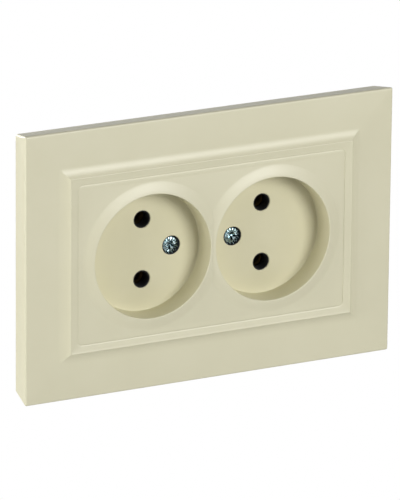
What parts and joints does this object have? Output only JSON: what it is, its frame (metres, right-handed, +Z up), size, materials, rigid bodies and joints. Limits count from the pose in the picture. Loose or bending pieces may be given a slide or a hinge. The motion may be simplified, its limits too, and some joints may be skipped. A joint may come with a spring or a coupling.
{
  "type": "wall socket",
  "caption": "Rectangular flush wall socket with a stepped frame, round plug wells side by side, pin holes and fixing screws, over a steel yoke with a black base and spreading claws.",
  "frame": {"origin": "centre of the wall plane, midway between the two box-screw slots, on the yoke's back face", "axes": "+X right along the socket's width, +Z up, the socket faces -Y and its base reaches into the wall towards +Y"},
  "size_m": [0.1244, 0.0334, 0.0846],
  "materials": {
    "cream_plastic": "satin",
    "black_plastic": "matte",
    "zinc_steel": "zinc plated",
    "brass": "satin"
  },
  "bodies": {
    "mechanism": {"support_plate": "zinc_steel", "base_body": "black_plastic", "rear_cover": "black_plastic", "base_screw_upper": "zinc_steel", "base_screw_lower": "zinc_steel", "rear_screw_left": "zinc_steel", "rear_screw_right": "zinc_steel", "cover_insert_left": "brass", "cover_insert_right": "brass", "busbar_upper": "brass", "busbar_lower": "brass", "contact_upper_left": "brass", "contact_upper_right": "brass", "contact_lower_left": "brass", "contact_lower_right": "brass", "contact_ring_upper_left": "zinc_steel", "contact_ring_upper_right": "zinc_steel", "contact_ring_lower_left": "zinc_steel", "contact_ring_lower_right": "zinc_steel", "claw_pin_upper": "zinc_steel", "claw_pin_lower": "zinc_steel"},
    "frame": {"outer_frame": "cream_plastic"},
    "cover": {"front_cover": "cream_plastic"},
    "cover_screw_left_body": {"cover_screw_left": "zinc_steel"},
    "cover_screw_right_body": {"cover_screw_right": "zinc_steel"},
    "clamp_upper_body": {"clamp_upper": "zinc_steel"},
    "clamp_lower_body": {"clamp_lower": "zinc_steel"},
    "terminal_screw_upper_body": {"terminal_screw_upper": "zinc_steel"},
    "terminal_screw_lower_body": {"terminal_screw_lower": "zinc_steel"},
    "claw_upper_body": {"claw_upper": "zinc_steel"},
    "claw_lower_body": {"claw_lower": "zinc_steel"},
    "claw_screw_upper_body": {"claw_screw_upper": "zinc_steel"},
    "claw_screw_lower_body": {"claw_screw_lower": "zinc_steel"}
  },
  "joints": [
    {"name": "frame_lift", "type": "slide", "parent": "mechanism", "child": "frame", "axis": [0, -1, 0], "range_m": [0, 0.03]},
    {"name": "cover_lift", "type": "slide", "parent": "frame", "child": "cover", "axis": [0, -1, 0], "range_m": [0, 0.02]},
    {"name": "cover_screw_left_turn", "type": "hinge", "parent": "cover", "child": "cover_screw_left_body", "pos_m": [-0.01047, 0, 0], "axis": [0, -1, 0], "continuous": true},
    {"name": "cover_screw_right_turn", "type": "hinge", "parent": "cover", "child": "cover_screw_right_body", "pos_m": [0.01047, 0, 0], "axis": [0, -1, 0], "continuous": true},
    {"name": "clamp_upper_slide", "type": "slide", "parent": "mechanism", "child": "clamp_upper_body", "axis": [0, -1, 0], "range_m": [0, 0.0016]},
    {"name": "terminal_screw_upper_turn", "type": "hinge", "parent": "clamp_upper_body", "child": "terminal_screw_upper_body", "pos_m": [0, 0.0175, 0.0136], "axis": [0, -1, 0], "range_deg": [0, 1153]},
    {"name": "clamp_lower_slide", "type": "slide", "parent": "mechanism", "child": "clamp_lower_body", "axis": [0, -1, 0], "range_m": [0, 0.0016]},
    {"name": "terminal_screw_lower_turn", "type": "hinge", "parent": "clamp_lower_body", "child": "terminal_screw_lower_body", "pos_m": [0, 0.0175, -0.0136], "axis": [0, -1, 0], "range_deg": [0, 1153]},
    {"name": "claw_screw_upper_turn", "type": "hinge", "parent": "mechanism", "child": "claw_screw_upper_body", "pos_m": [0.009, 0, 0.021], "axis": [0, 1, 0], "range_deg": [0, 721]},
    {"name": "claw_upper_spread", "type": "hinge", "parent": "mechanism", "child": "claw_upper_body", "pos_m": [0.009, 0.00365, 0.0245], "axis": [1, 0, 0], "range_deg": [0, 20]},
    {"name": "claw_screw_lower_turn", "type": "hinge", "parent": "mechanism", "child": "claw_screw_lower_body", "pos_m": [-0.009, 0, -0.021], "axis": [0, 1, 0], "range_deg": [0, 721]},
    {"name": "claw_lower_spread", "type": "hinge", "parent": "mechanism", "child": "claw_lower_body", "pos_m": [-0.009, 0.00365, -0.0245], "axis": [-1, 0, 0], "range_deg": [0, 20]}
  ],
  "couplings": [
    {"joint": "terminal_screw_upper_turn", "follows": "clamp_upper_slide", "rad_per_m": 12566},
    {"joint": "terminal_screw_lower_turn", "follows": "clamp_lower_slide", "rad_per_m": 12566},
    {"joint": "claw_screw_upper_turn", "follows": "claw_upper_spread", "ratio": 36},
    {"joint": "claw_screw_lower_turn", "follows": "claw_lower_spread", "ratio": 36}
  ]
}
